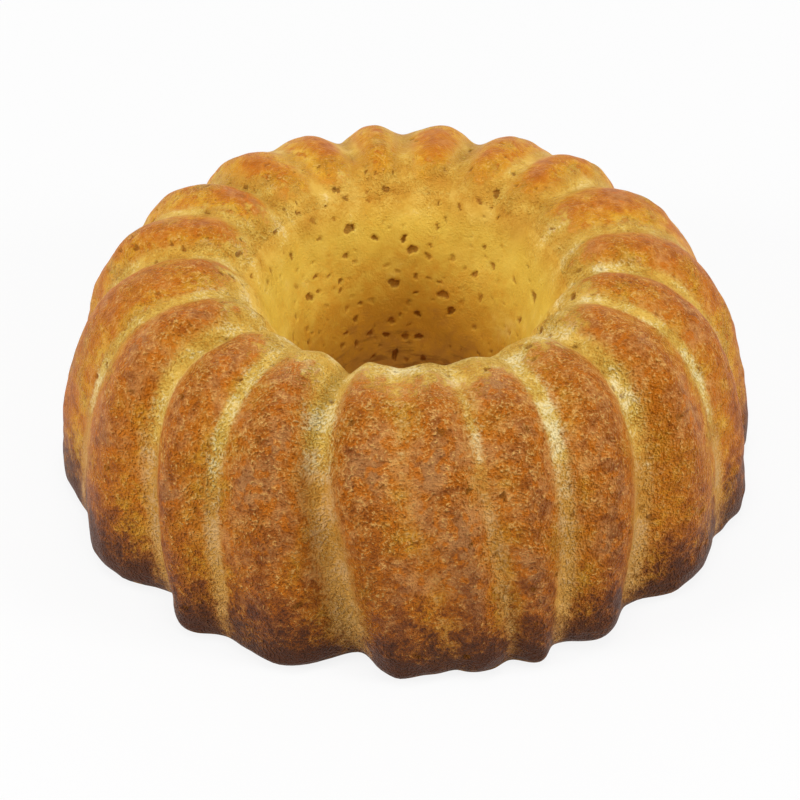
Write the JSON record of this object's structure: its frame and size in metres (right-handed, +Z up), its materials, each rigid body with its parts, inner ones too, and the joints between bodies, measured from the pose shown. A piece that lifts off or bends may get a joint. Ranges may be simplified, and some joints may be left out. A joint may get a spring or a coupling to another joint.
{
  "type": "ring cake",
  "caption": "Baked ring cake standing crown up, with a browned ribbed crust, a pale funnel-shaped tunnel through its middle and a flat dark base crust over yellow sponge.",
  "frame": {"origin": "centre of the cake on the surface it stands on", "axes": "+Z up along the middle of the tunnel, -Y towards the viewer of the picture, +X to the viewer's right"},
  "size_m": [0.2204, 0.2199, 0.075],
  "materials": {
    "sponge": "open yellow sponge, matte",
    "browned_crust": "golden brown baked crust, fine grain with a faint buttery sheen",
    "pale_skin": "pale yellow baked skin with small open pores, matte",
    "dark_crust": "dark brown well baked crust, dry and matte"
  },
  "bodies": {
    "root": {"crumb": "sponge", "fluted_crust": "browned_crust", "tunnel_skin": "pale_skin", "base_crust": "dark_crust"}
  },
  "joints": []
}
